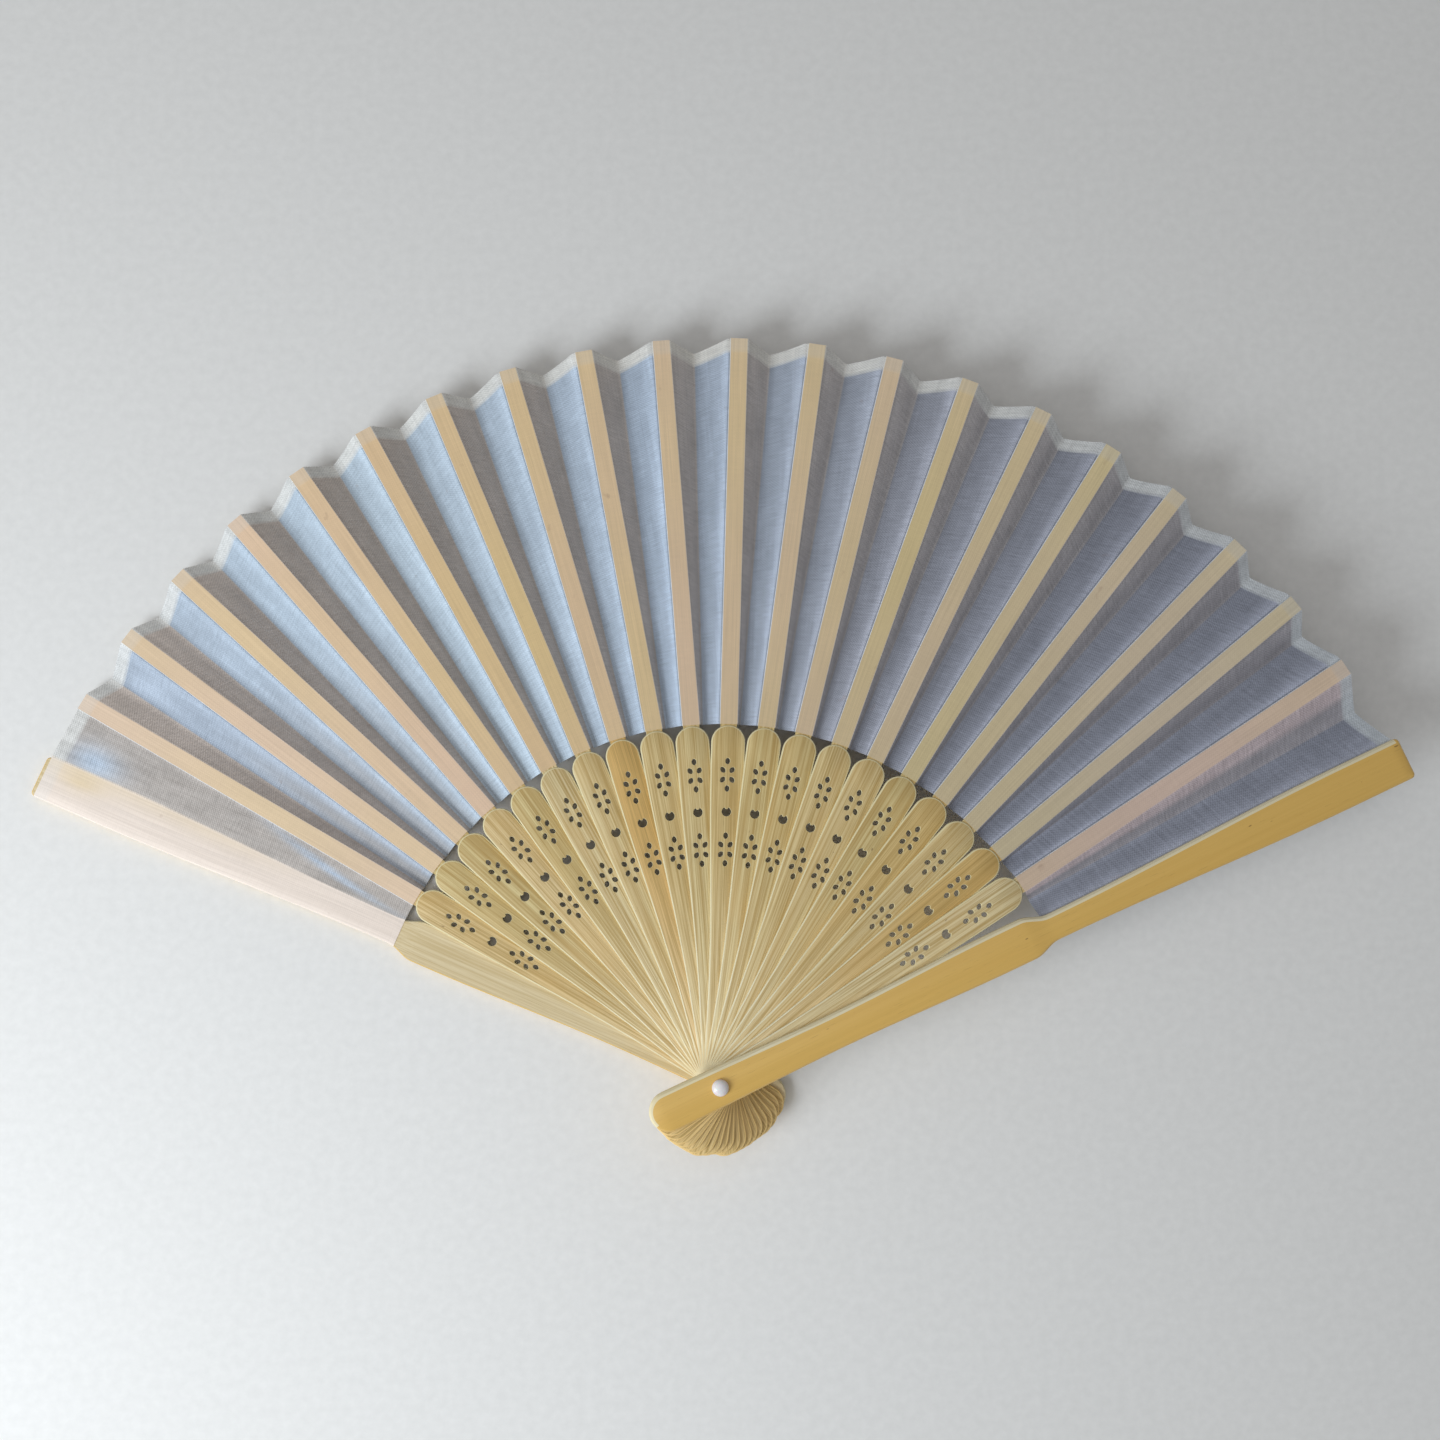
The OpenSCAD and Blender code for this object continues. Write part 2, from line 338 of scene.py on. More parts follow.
def bamboo(name, pale, deep, warm, streak, roughness, waist=None, tail=None, **settings):
    """Split bamboo: straight fibres along the stick, long soft bands, short dark pores, and a
    tint of its own for each stick. waist and tail are the colours to which a stick fades near
    the rivet and behind it; the ribs' brighter tail colour is partly painted light, set against
    the shade that falls behind the rivet."""
    s = Shader(name, Roughness=roughness, **settings)
    place = s.attribute("grain").outputs["Vector"]
    along = s.node("SeparateXYZ", {0: place}).outputs["X"]
    own = s.attribute("tint").outputs["Fac"]
    # Each stick shows another part of the pattern
    far, deeper = s.math("MULTIPLY", own, 91.0), s.math("MULTIPLY", own, 57.0)
    shift = s.node("CombineXYZ", {"X": far, "Z": deeper}).outputs[0]
    place = s.node("VectorMath", {0: place, 1: shift}, operation="ADD").outputs[0]
    fibres = s.noise(s.scaled(place, 0.02, 1.9, 1.9), 4.0, 0.75)
    bands = s.noise(s.scaled(place, 0.01, 0.5, 0.5), 2.0)
    clouds = s.noise(s.scaled(place, 0.035, 0.12, 0.12), 2.0)
    pores = s.spread(s.noise(s.scaled(place, 0.22, 7.0, 7.0), 2.0), 0.66, 0.76)
    flecks = s.spread(s.noise(s.scaled(place, 0.35, 0.9, 0.9), 1.0), 0.79, 0.82)
    shade = s.mix(s.spread(bands, 0.3, 0.7, 0.0, 0.7), pale, deep)
    shade = s.mix(s.math("POWER", own, 2.5), shade, warm)
    if waist:
        # Some sticks are fair all the way along
        unlike_tint = s.math("FRACT", s.math("MULTIPLY", own, 7.3))
        fair = s.spread(unlike_tint, 0.4, 1.0, 0.0, 0.6)
        shade = s.mix(s.math("MAXIMUM", fair, s.spread(along, 5.0, 65.0, 0.6, 0.0)), shade, waist)
        # Behind the rivet the stick turns to its tail colour, which on the ribs is partly painted
        # light
        shade = s.mix(s.spread(along, -6.0, 0.0, 0.8, 0.0), shade, tail)
    shade = s.mix(s.spread(fibres, 0.4, 0.62, 0.0, streak), shade, deep)
    shade = s.mix(s.spread(clouds, 0.45, 0.75, 0.0, 0.3), shade, warm)
    shade = s.mix(s.math("MULTIPLY", pores, 0.4), shade, colour(130, 94, 46))
    shade = s.mix(s.math("MULTIPLY", flecks, 0.6), shade, colour(112, 74, 40))
    s.feed("Base Color", shade)
    s.feed("Normal", s.bump(fibres, 0.00004, 0.35))
    return s.material


def cut_edge(name, pale, deep, tail, head):
    """The cut edge of a stick: pale, with fine fibres, and fading to other colours round the tail
    and towards the head. On the ribs the tail's colour is a brighter gold, partly painted light
    against the shade behind the rivet."""
    s = Shader(name, Roughness=0.6)
    place = s.attribute("grain").outputs["Vector"]
    fibres = s.noise(s.scaled(place, 0.12, 6.0, 6.0), 3.0)
    along = s.node("SeparateXYZ", {0: place}).outputs["X"]
    shade = s.mix(s.spread(fibres, 0.35, 0.75), pale, deep)
    shade = s.mix(s.spread(along, 20.0, 70.0, 0.0, 0.75), shade, head)
    # Round the tail the edge turns to its tail colour, which on the ribs is partly painted light
    s.feed("Base Color", s.mix(s.spread(along, -4.0, 2.0), tail, shade))
    s.feed("Normal", s.bump(fibres, 0.00004, 0.3))
    return s.material


def silk(name):
    """The leaf's fine plain-woven cloth. Its colour attribute holds the cloth's colour from place
    to place, with painted light and shade in it, and slack how deeply it is wrinkled."""
    s = Shader(name, Roughness=0.62, Sheen_Weight=0.25, Sheen_Roughness=0.45)
    s.surface.inputs["Sheen Tint"].default_value = colour(225, 235, 255)
    place = s.attribute("weave").outputs["Vector"]
    slack = s.attribute("slack").outputs["Fac"]
    apart = s.node("SeparateXYZ", {0: place})
    wander = s.math("MULTIPLY", s.noise(s.scaled(place, 0.12, 0.12, 1.0), 2.0), 9.0)
    threads = []
    for axis, count in (("X", 1.35), ("Y", 1.5)):
        turns = s.math("MULTIPLY", apart.outputs[axis], 2 * math.pi * count)
        threads.append(s.math("SINE", s.math("ADD", turns, wander)))
    weave = s.math("MULTIPLY", *threads)
    slubs = s.noise(s.scaled(place, 0.25, 2.4, 1.0), 3.0, 0.65)
    warp = s.noise(s.scaled(place, 2.6, 0.04, 1.0), 2.0, 0.6)
    mottle = s.noise(s.scaled(place, 0.2, 0.07, 1.0), 3.0, 0.6)
    creases = s.noise(s.scaled(place, 0.1, 0.55, 1.0), 3.0, 0.55)
    folds = s.noise(s.scaled(place, 0.16, 0.045, 1.0), 2.0, 0.5)
    shade = s.attribute("dye").outputs["Color"]
    loose = s.spread(slack, 0.05, 0.25, 0.2, 1.0)
    for value, low, high, least, most, share in (
        (weave, -1.0, 1.0, 0.91, 1.09, loose),
        (slubs, 0.3, 0.7, 0.86, 1.14, loose),
        (warp, 0.3, 0.7, 0.93, 1.07, 1.0),
        (mottle, 0.25, 0.75, 0.88, 1.12, loose),
    ):
        light = s.spread(value, low, high, least, most)
        grey = s.node("CombineXYZ", {"X": light, "Y": light, "Z": light}).outputs[0]
        shade = s.mix(share, shade, grey, "MULTIPLY")
    stains = s.spread(s.noise(s.scaled(place, 0.3, 0.2, 1.0), 2.0), 0.7, 0.8, 0.0, 0.3)
    s.feed("Base Color", s.mix(stains, shade, colour(150, 116, 96)))
    normal = s.bump(folds, 0.0012, slack)
    normal = s.bump(creases, 0.0004, s.math("MULTIPLY", loose, 0.5), normal)
    normal = s.bump(slubs, 0.00008, s.math("MULTIPLY", loose, 0.5), normal)
    s.feed("Normal", s.bump(weave, 0.00005, s.math("MULTIPLY", loose, 0.6), normal))
    return s.material


def pearl(name):
    """The rivet's pearly moulded plastic."""
    s = Shader(name, Roughness=0.3, Coat_Weight=0.4, Coat_Roughness=0.08, Sheen_Weight=0.2)
    s.surface.inputs["Subsurface Weight"].default_value = 0.15
    s.surface.inputs["Subsurface Scale"].default_value = 0.001
    place = s.node("TexCoord").outputs["Object"]
    cloud = s.noise(s.scaled(place, 900.0, 900.0, 900.0), 3.0)
    # Painted sheen: the rivet turns pinker and darker where its surface turns away from the view
    rim = s.node("LayerWeight", {"Blend": 0.4}).outputs["Facing"]
    shade = s.mix(s.spread(cloud, 0.3, 0.7), colour(240, 233, 234), colour(248, 243, 241))
    s.feed("Base Color", s.mix(s.math("MULTIPLY", rim, 0.4), shade, colour(222, 208, 218)))
    s.feed("Normal", s.bump(cloud, 0.00002, 0.1))
    return s.material


GUARD_WOOD = bamboo(
    "guard_bamboo",
    pale=colour(238, 202, 116),
    deep=colour(218, 176, 88),
    warm=colour(234, 188, 100),
    streak=0.3,
    roughness=0.42,
    Coat_Weight=0.12,
)
INNER_WOOD = bamboo(
    "guard_inner_bamboo",
    pale=colour(246, 233, 198),
    deep=colour(212, 188, 136),
    warm=colour(238, 214, 166),
    streak=0.9,
    roughness=0.55,
)
# The ribs' tail colours, on their faces and edges, are a brighter gold, partly painted light
# against the shade behind the rivet
RIB_WOOD = bamboo(
    "rib_bamboo",
    pale=colour(238, 220, 162),
    deep=colour(184, 152, 86),
    warm=colour(226, 184, 110),
    streak=0.9,
    roughness=0.5,
    waist=colour(250, 236, 196),
    tail=colour(254, 220, 150),
)
RIB_EDGE = cut_edge(
    "rib_edge",
    pale=colour(248, 240, 208),
    deep=colour(220, 202, 154),
    tail=colour(250, 214, 142),
    head=colour(236, 222, 172),
)
GUARD_EDGE = cut_edge(
    "guard_edge",
    pale=colour(244, 234, 200),
    deep=colour(222, 206, 162),
    tail=colour(240, 226, 184),
    head=colour(236, 224, 188),
)
CLOTH = silk("leaf_silk")
PEARL = pearl("rivet_pearl")

# ---------------------------------------------------------------- sticks


TAIL_STEPS = 21
HANDLE_STEPS = 50

# The ribs' tails differ in length by up to this share either way
TAIL_JITTER = 0.02

# A guard's outer wood goes on round its outer edge, this far off the axis, and round its tip
OUTER_EDGE_Y = 2
TIP_BAND = 1.5


def handle_half(x, halves):
    """Half the width of a stick's handle at x."""
    tail, waist, head = halves
    below = between(waist, tail, (WAIST_X - x) / (WAIST_X + TAIL_REACH - tail))
    above = between(waist, head, (x - WAIST_X) / (HEAD_X - WAIST_X))
    return np.where(x < WAIST_X, below, above)


def guard_half(x):
    """Half the width of a guard at x: its handle, the shoulder, and the blade."""
    handle = handle_half(x, GUARD_HALVES)
    shoulder = between(GUARD_HALVES[2], BLADE_ROOT, (x - SHOULDER_X) / (BLADE_X - SHOULDER_X))
    blade = between(BLADE_ROOT, BLADE_TIP, (x - BLADE_X) / (FULL_BLADE_X - BLADE_X))
    return np.where(x < SHOULDER_X, handle, np.where(x < BLADE_X, shoulder, blade))


def outline_of(xs, halves, tail, end):
    """A stick's outline, counter-clockwise from the upper side of its rounded tail. end is the
    loop's points round the far end, from the lower side to the upper."""
    tail_x = tail - TAIL_REACH
    return np.concatenate(
        [
            arc((tail_x, 0), tail, 90, 270, TAIL_STEPS)[1:-1],
            np.column_stack([xs, -halves]),
            end,
            np.column_stack([xs, halves])[::-1],
        ]
    )


def circle(centre, radius, steps=24):
    return arc(centre, radius, 0, 360, steps + 1)[:-1]


def petal(x, y, tilt):
    """A lens-shaped loop: two arcs that meet in points."""
    bow = (PETAL_L**2 + PETAL_W**2) / (4 * PETAL_W)
    half = math.degrees(math.asin(PETAL_L / 2 / bow))
    low = arc((0, bow - PETAL_W / 2), bow, 270 - half, 270 + half, 7)[:-1]
    high = arc((0, PETAL_W / 2 - bow), bow, 90 - half, 90 + half, 7)[:-1]
    return turned(np.concatenate([low, high]), tilt) + (x, y)


def flower(x):
    """Six petals: one at each end, and two on each side."""
    loops = []
    for end in (-1, 1):
        loops.append(petal(x + end * END_PETAL_X, 0, 0))
        for side in (-1, 1):
            tilt = end * side * SIDE_PETAL_TILT
            loops.append(petal(x + end * SIDE_PETAL_X, side * SIDE_PETAL_Y, tilt))
    return loops


def heart(x):
    """A round hole with a bite out of its far side."""
    cross = (HEART_R**2 - NOTCH_R**2 + NOTCH_X**2) / (2 * NOTCH_X)
    body = math.degrees(math.acos(cross / HEART_R))
    bite = math.degrees(math.acos((cross - NOTCH_X) / NOTCH_R))
    return np.concatenate(
        [
            arc((x, 0), HEART_R, body, 360 - body, 22)[:-1],
            arc((x + NOTCH_X, 0), NOTCH_R, 360 - bite, bite, 8)[:-1],
        ]
    )


def rib_parts():
    """One rib along +X, its back at z = 0: the pierced handle, and the slim strip."""
    tail, _, head = RIB_HALVES
    head_x = LEAF_INNER - HEAD_GAP - head
    xs = np.linspace(tail - TAIL_REACH, head_x, 52)
    end = arc((head_x, 0), head, -90, 90, 23)[1:-1]
    outline = outline_of(xs, handle_half(xs, RIB_HALVES), tail, end)
    holes = [*flower(FAR_FLOWER_X), heart(HEART_X), *flower(NEAR_FLOWER_X)]
    holes.append(circle((0, 0), HOLE_R))
    handle = plate(outline, holes, RIB_PROFILE, lambda loop: (0.0, RIB_T))
    sides = np.linspace(LEAF_INNER - STRIP_OVERLAP, STRIP_REACH, 25)
    lower = np.column_stack([sides, 0 * sides - STRIP_HALF])
    upper = np.column_stack([sides, 0 * sides + STRIP_HALF])[::-1]
    loop = np.concatenate([lower, upper])
    strip = plate(loop, [], STRIP_PROFILE, lambda loop: (STRIP_LIFT, STRIP_T))
    return joined(handle, strip)


def guard_parts():
    """One guard along +X, its plain outer face at z = 0 and its inner face towards +z. The inner
    face drops at the shoulder to a seat for the leaf."""
    corner = GUARD_REACH - TIP_R
    xs = np.concatenate(
        [
            np.linspace(GUARD_HALVES[0] - TAIL_REACH, SHOULDER_X, HANDLE_STEPS),
            np.linspace(SHOULDER_X, BLADE_X, 12)[1:],
            np.linspace(BLADE_X, corner, 50)[1:],
        ]
    )
    tip = np.concatenate(
        [
            arc((corner, TIP_R - BLADE_TIP), TIP_R, -90, 0, 7)[1:],
            arc((corner, BLADE_TIP - TIP_R), TIP_R, 0, 90, 7)[:-1],
        ]
    )
    outline = outline_of(xs, guard_half(xs), GUARD_HALVES[0], tip)
    shoulder = (TAIL_STEPS - 2 + HANDLE_STEPS - 1, len(outline) - HANDLE_STEPS)

    def height(loop):
        ends = SHOULDER_X, LEAF_INNER
        return 0.0, np.interp(loop[:, 0], ends, (GUARD_T, GUARD_T - LEAF_SEAT))

    return plate(outline, [circle((0, 0), HOLE_R)], GUARD_PROFILE, height, [shoulder])


def place_stick(n, parts, woods, node, flipped=False):
    """Stick n in its place in the open fan. flipped turns a guard's inner face downwards."""
    points, faces, kinds = parts
    local = points.copy()
    if 0 < n < FRONT:
        stretch = 1 + randomness.uniform(-TAIL_JITTER, TAIL_JITTER)
        points = points * np.where(points[:, :1] < 0, (stretch, 1, 1), (1, 1, 1))
    plan = turned(points[:, :2], stick_angle(n))
    z = STACK_TOP - points[:, 2] if flipped else stick_z(n) + points[:, 2]
    if flipped:
        faces = [tuple(face)[::-1] for face in faces]
    if n in (0, FRONT):
        leafwards = -1 if n == 0 else 1
        middles = np.array([points[list(face), :2].mean(axis=0) for face in faces])
        outer = leafwards * middles[:, 1] < -OUTER_EDGE_Y
        outer |= middles[:, 0] > GUARD_REACH - TIP_BAND
        kinds = np.where((np.array(kinds) == 1) & outer, 0, kinds)
    tint = np.full(len(points), randomness.uniform())
    points = np.column_stack([plan, z])
    made = make_mesh(node + "_stick", points, faces, woods, kinds, grain=local, tint=tint)
    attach(made, body_name(n))
    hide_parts(node)


rib_template = rib_parts()
guard_template = guard_parts()
guard_woods = [GUARD_WOOD, GUARD_EDGE, INNER_WOOD]
place_stick(0, guard_template, guard_woods, "rear_guard")
for number in range(1, FRONT):
    place_stick(number, rib_template, [RIB_WOOD, RIB_EDGE, RIB_WOOD], body_name(number))
place_stick(FRONT, guard_template, guard_woods, "front_guard", flipped=True)

# ---------------------------------------------------------------- leaf

# A pleat falls from one stick to its valley and climbs to a small shelf beside the next stick,
# where a foot and a short wall take it up to the ridge. PLEAT_DEPTH is from the cloth on the stick
# to the valley's outer end, and LOWEST_VALLEY from the floor. The shelf's two heights are from the
# stick's back, and the _Y places are off the middle of the stick
PLEAT_DEPTH = 5.0
VALLEY_SHARE = 0.52
EDGE_DIP = 2.5
LOWEST_VALLEY = 0.4
STRIP_EDGE = 2.3
RIDGE_Y = 2.2
WALL_Y = 2.35
SHELF_LOW, SHELF_HIGH = 0.74, 0.84

# The shut leaf hangs beside the sticks, and spreads a little to pass the rear guard's edge
LAYER = 0.11
GUARD_TOP = 2.22
GUARD_CLEARANCE = 0.14
ROUND_EDGE = 0.45


def seat_z(n):
    """Height of the cloth's front face where it is glued to a stick."""
    if n == FRONT:
        return FRONT_Z + LEAF_SEAT - 0.02
    return SEAT_LIFT + (GUARD_T - LEAF_SEAT if n == 0 else stick_z(n) + STRIP_T)


# The cloth's colours across the fan, each at some gore: over wood, on the panel that falls away
# from a rib, on the one that climbs to the next, and in the hem. They hold painted light and shade
# as well as the cloth's dye: they darken from the rear guard's side to the front guard's, the
# falling panels are darker with painted shade, and the climbing panels' blue is a painted bluish
# reflection
CLOTH_COLOURS = {
    "wood": {
        1: (241, 213, 184),
        4: (242, 211, 171),
        6: (236, 204, 156),
        10: (233, 205, 163),
        14: (224, 201, 158),
        19: (214, 197, 168),
        20: (222, 196, 176),
    },
    "falling": {
        2: (218, 204, 193),
        5: (206, 192, 180),
        9: (206, 196, 188),
        13: (198, 192, 190),
        20: (164, 160, 165),
    },
    "climbing": {
        1: (178, 191, 207),
        3: (188, 204, 219),
        5: (192, 208, 221),
        9: (177, 191, 208),
        13: (157, 160, 171),
        16: (142, 145, 157),
        20: (152, 156, 170),
    },
    "hem": {1: (232, 232, 228), 10: (230, 226, 216), 20: (200, 206, 210)},
}
COVER_COLOUR = colour(252, 236, 222)
COVER_BLOTCH = colour(240, 212, 150)
PINK_COLOUR = colour(206, 190, 192)
# Painted highlight on the cloth where it turns over each stick's edge up to the ridge
RIDGE_HIGHLIGHT_COLOUR = colour(236, 238, 240)
# The first gore's ground is painted in shade, like the falling panels, and its gleams are painted
# too
FIRST_COLOUR = colour(192, 184, 177)
# Painted shade that greys the climbing panels of the first few gores towards the rivet
INNER_SHADE_COLOUR = colour(170, 166, 163)

# The gleams that are painted on the first gore, where real cloth would shine
GLEAM_COLOUR = colour(198, 216, 236)

# Light that is painted across each panel: (share of the width, brightness at the rear guard's side
# of the fan, brightness at the front guard's)
FALL_LIGHT = ((0, 0.88, 0.9), (0.15, 1, 1.08), (0.5, 1, 0.95), (0.8, 0.95, 0.82), (1, 0.84, 0.74))
CLIMB_LIGHT = (
    (0, 0.76, 0.72),
    (0.13, 0.88, 0.8),
    (0.34, 0.97, 0.85),
    (0.56, 0.9, 0.92),
    (0.78, 0.95, 1.05),
    (1, 1.14, 1.42),
)

# How far the hem's colour covers the others
HEM_OVER_WOOD = 0.25
HEM_OVER_PANEL = 0.85

# How far the cloth may wrinkle: hardly where it is glued down, and most in the first gore
SLACK = {"cover": 0.05, "wood": 0.05, "first": 0.9}
USUAL_SLACK = 0.25

# Gore n's pattern of threads starts this far from the one before
WEAVE_STEP = 13.0

# One place in a gore's cross-section, with the y that it has when the fan is shut, what part of
# the pleat it belongs to, and how far across that part it lies
Column = namedtuple("Column", "x y z shut kind t", defaults=(0.5,))


def gore_rows():
    """Distances from the rivet at which a gore has points, close together at the hem's edge."""
    hem_edge = LEAF_OUTER - HEM
    plain = np.linspace(LEAF_INNER, hem_edge - 0.1, 50)
    hem = np.linspace(hem_edge + 1, LEAF_OUTER, 4)
    return np.concatenate([plain, [hem_edge + 0.1], hem])


def with_corners(shares, height, corners):
    """Shares of the way across a panel, with those nearest to the corner heights moved there."""
    shares = np.array(shares)
    heights = np.array([height(share) for share in shares])
    for corner in corners:
        for i in range(1, len(shares) - 2):
            part = (corner - heights[i]) / (heights[i + 1] - heights[i])
            if 0 <= part < 1:
                shares[i + round(part)] = shares[i] + (shares[i + 1] - shares[i]) * part
                heights[i + round(part)] = corner
                break
    return shares


def beside_next(n, r, y):
    """The plan place, in stick n's axes, of a point r along the next stick and y beside it."""
    return turned(np.array([[r, y]]), -gap_after(n))[0]


def shut_beside_next(n, r, y):
    """The y of the same point, in stick n's axes, when the fan is shut."""
    return turned(np.array([[r, y]]), travel_after(n) - gap_after(n))[0][1]


def over_guard(layer):
    """Heights between which a layer spreads outwards to pass the rear guard's edge."""
    end = GUARD_TOP + GUARD_CLEARANCE + LAYER * layer
    return end + ROUND_EDGE, end


def first_columns(r):
    """Across gore 1: over the rear guard's face, and on in one low panel to the first rib."""
    base, top = seat_z(0), seat_z(1)
    half = float(guard_half(r))
    columns = []
    for y, drop in (
        (half + 0.05, 0.4),
        (half - 0.15, 0.12),
        (half - 0.4, 0.0),
        (half * 0.4, 0.0),
        (0.0, 0.0),
        (-half * 0.4, 0.0),
        (-half + 0.3, 0.0),
        (-half - 0.1, 0.0),
    ):
        columns.append(Column(r, y, base - drop, y, "cover", (half - y) / (2 * half)))
    start = np.array([r, -half - 0.1])
    end = beside_next(0, r, WALL_Y + 0.1)
    shut_end = shut_beside_next(0, r, WALL_Y + 0.1)
    for s in (0.06, 0.15, 0.27, 0.4, 0.52, 0.64, 0.76, 0.87, 0.95, 1.0):
        x, y = start + (end - start) * s
        z = base + 0.09 + 0.1 * s - 0.05 * math.exp(-s / 0.06)
        columns.append(Column(x, y, z, start[1] + (shut_end - start[1]) * s, "first", s))
    for y, z in ((WALL_Y, top - 0.45), (RIDGE_Y + 0.08, top - 0.1), (RIDGE_Y, top)):
        x, plan_y = beside_next(0, r, y)
        columns.append(Column(x, plan_y, z, shut_beside_next(0, r, y), "ridge"))
    return columns


def pleat_columns(n, r):
    """Across gore n + 1, from the strip of stick n down to the valley and up to the next stick."""
    base = seat_z(n)
    dip = EDGE_DIP * (r - LEAF_INNER) / (LEAF_OUTER - LEAF_INNER)
    valley = turned(np.array([[r - dip, STRIP_HALF]]), -VALLEY_SHARE * gap_after(n))[0]
    low = max(LOWEST_VALLEY, base - PLEAT_DEPTH * r / LEAF_OUTER)
    side = np.array([r, -STRIP_EDGE])
    slope = (valley[1] - side[1]) / (low - base)
    edge = -float(guard_half(r)) - math.radians(LEAN) * r - 0.25
    ridge_half = WALL_Y + 0.45 + 0.4 * r / LEAF_OUTER
    if n == RIB_COUNT:
        ridge_half = float(guard_half(r)) + 0.3
    shelf = beside_next(n, r, ridge_half)
    shelf_z = base + SHELF_LOW - SEAT_LIFT - STRIP_T

    def hung(z, natural, layer):
        """Shut position of a layer: as it hangs open, or past the rear guard's edge below it."""
        start, end = over_guard(layer)
        share = np.clip((start - z) / (start - end), 0, 1)
        return natural + (min(natural, edge - LAYER * layer) - natural) * share

    def fall(t):
        return base + (low - base) * t + 0.25 * math.exp(-(((1 - t) / 0.1) ** 2))

    def climb(s):
        return low + (shelf_z - low) * (0.6 * s + 0.4 * s * s) + 0.25 * math.exp(-((s / 0.07) ** 2))

    columns = []
    for y in (RIDGE_Y, RIDGE_Y - 0.12, 0.9, -0.9, -STRIP_HALF + 0.05):
        columns.append(Column(r, y, base, y, "wood"))
    columns.append(Column(r, -STRIP_EDGE, base, -STRIP_EDGE, "falling", 0))
    for t in with_corners(np.linspace(0.06, 1, 12), fall, over_guard(2 * n)):
        x, y = side + (valley - side) * t
        z = fall(t)
        columns.append(Column(x, y, z, hung(z, y, 2 * n), "falling", t))
    shares = [0.05, 0.11, *np.linspace(0.2, 1, 10)]
    for s in with_corners(shares, climb, over_guard(2 * n + 1)):
        x, y = valley + (shelf - valley) * s
        z = climb(s)
        natural = side[1] + slope * (max(z - LEVEL / 2, low) - base)
        columns.append(Column(x, y, z, hung(z, natural, 2 * n + 1), "climbing", s))
    if n == RIB_COUNT:
        return columns + tucked_columns(r, ridge_half, shelf_z)
    return columns + ridge_columns(n, r, ridge_half, shelf_z)


def tucked_columns(r, ridge_half, shelf_z):
    """The end of the last gore, which goes behind the front guard."""
    top = seat_z(FRONT)
    columns = []
    for y, z in (
        (ridge_half - 1.5, shelf_z + 0.1),
        (2.5, shelf_z + 0.22),
        (0.7, top - 0.02),
        (-1.5, top),
    ):
        x, plan_y = beside_next(RIB_COUNT, r, y)
        shut = -STRIP_EDGE + (STRIP_EDGE - 1.9) * (z - shelf_z) / 0.4
        if y < 1:
            shut = shut_beside_next(RIB_COUNT, r, y)
        columns.append(Column(x, plan_y, z, shut, "climbing"))
    return columns


def ridge_columns(n, r, ridge_half, shelf_z):
    """The end of any other gore: the shelf, its foot, and the wall up to the next ridge."""
    top = seat_z(n + 1)
    shelf_end = seat_z(n) + SHELF_HIGH - SEAT_LIFT - STRIP_T
    columns = []
    for y, z, shut, kind in (
        ((ridge_half + WALL_Y) / 2, (shelf_z + shelf_end) / 2, 0.0, "climbing"),
        (WALL_Y + 0.05, shelf_end, WALL_Y + 0.05, "foot"),
    ):
        x, plan_y = beside_next(n, r, y)
        columns.append(Column(x, plan_y, z, shut, kind, 1))
    for y, z in ((WALL_Y - 0.05, top - 0.3), (RIDGE_Y + 0.05, top - 0.06), (RIDGE_Y, top)):
        x, plan_y = beside_next(n, r, y)
        columns.append(Column(x, plan_y, z, y, "ridge"))
    return columns


def gore_columns(n, r):
    return first_columns(r) if n == 0 else pleat_columns(n, r)


strip_tones = randomness.uniform(-1, 1, FRONT)


def cloth_colour(kind, n):
    stops = CLOTH_COLOURS[kind]
    channels = np.array([colour(*stop) for stop in stops.values()]).T
    return np.array([np.interp(n, list(stops), channel) for channel in channels])


def blended(a, b, share):
    return np.array(a) + (np.array(b) - a) * share


def patch(strength, r, t, place, size):
    """Strength of a soft patch at distance r and share t of the width, round its own (r, t)."""
    return strength * hill(r, place[0], size[0]) * hill(t, place[1], size[1])


def panel_light(stops, t, side):
    """Brightness t of the way across a panel, side being 0 to 1 from rear guard to front."""
    where, rear, front = np.array(stops).T
    side = np.clip(side, 0, 1)
    return np.interp(t, where, rear * (1 - side) + front * side)


def climbing_dye(n, t, r):
    """The panel that climbs, with painted light and shade: shaded across, brighter beside its
    valley near the rivet, and painted greyer and darker towards the rivet on the first few gores.
    Gore 2 has a painted gleam."""
    inner = (LEAF_OUTER - r) / (LEAF_OUTER - LEAF_INNER)
    light = panel_light(CLIMB_LIGHT, t, (n - 3) / 10)
    # Painted light: brighter beside the valley, more so towards the rivet
    light += 0.25 * inner * np.interp(t, (0.12, 0.25), (1, 0))
    if n == 1:
        light += patch(0.2, r, t, (179, 0.5), (6, 0.3))
    # Painted shade: the first few gores' climbing panels turn greyer and darker towards the rivet
    inner_shade = max(0, 0.2 * (5 - n)) * ease((165 - r) / 50) * hill(t, 0.5, 0.4)
    return blended(cloth_colour("climbing", n), INNER_SHADE_COLOUR, inner_shade) * light


